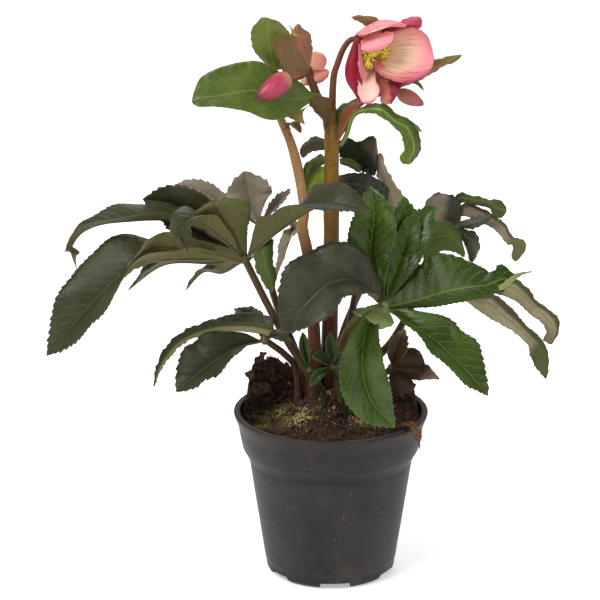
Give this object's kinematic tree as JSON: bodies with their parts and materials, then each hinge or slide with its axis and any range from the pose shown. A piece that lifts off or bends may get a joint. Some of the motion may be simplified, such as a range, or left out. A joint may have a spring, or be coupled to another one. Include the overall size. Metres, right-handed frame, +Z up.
{
  "type": "potted hellebore plant",
  "caption": "Flowering hellebore plant with palmate leaves, leafy bracts, buds and nodding pink bloom, rooted in peat in a round tapered nursery pot.",
  "frame": {"origin": "centre of the pot's underside, on the surface it stands on", "axes": "+Z up, -Y towards the viewer's front, +X to the viewer's right"},
  "size_m": [0.3379, 0.2207, 0.3819],
  "materials": {
    "pot_plastic": "satin",
    "peat": "rough",
    "stalk_main": "satin",
    "stalk_left": "satin",
    "leaf_left": "satin",
    "leaf_rear_left": "satin",
    "leaf_low_left": "satin",
    "leaf_front_right": "glossy",
    "leaf_right": "satin",
    "leaf_behind_stem": "satin",
    "leaf_low_right": "satin",
    "leaf_rear": "satin",
    "leaf_young": "satin",
    "shoot_folded": "satin",
    "bloom_sepals": "satin",
    "bloom_stamens": "matte",
    "bloom_styles": "satin",
    "bloom_half_open": "satin",
    "bud_front": "satin",
    "bud_right": "satin",
    "dry_leaf": "matte"
  },
  "bodies": {
    "root": {"pot": "pot_plastic", "soil": "peat", "stalk_main": "stalk_main", "stalk_left": "stalk_left", "leaf_left": "leaf_left", "leaf_rear_left": "leaf_rear_left", "leaf_low_left": "leaf_low_left", "leaf_front_right": "leaf_front_right", "leaf_right": "leaf_right", "leaf_behind_stem": "leaf_behind_stem", "leaf_low_right": "leaf_low_right", "leaf_rear": "leaf_rear", "leaf_young": "leaf_young", "shoot_folded": "shoot_folded", "bloom_sepals": "bloom_sepals", "bloom_stamens": "bloom_stamens", "bloom_styles": "bloom_styles", "bloom_half_open": "bloom_half_open", "bud_front": "bud_front", "bud_right": "bud_right", "dry_scrap": "dry_leaf"}
  },
  "joints": []
}
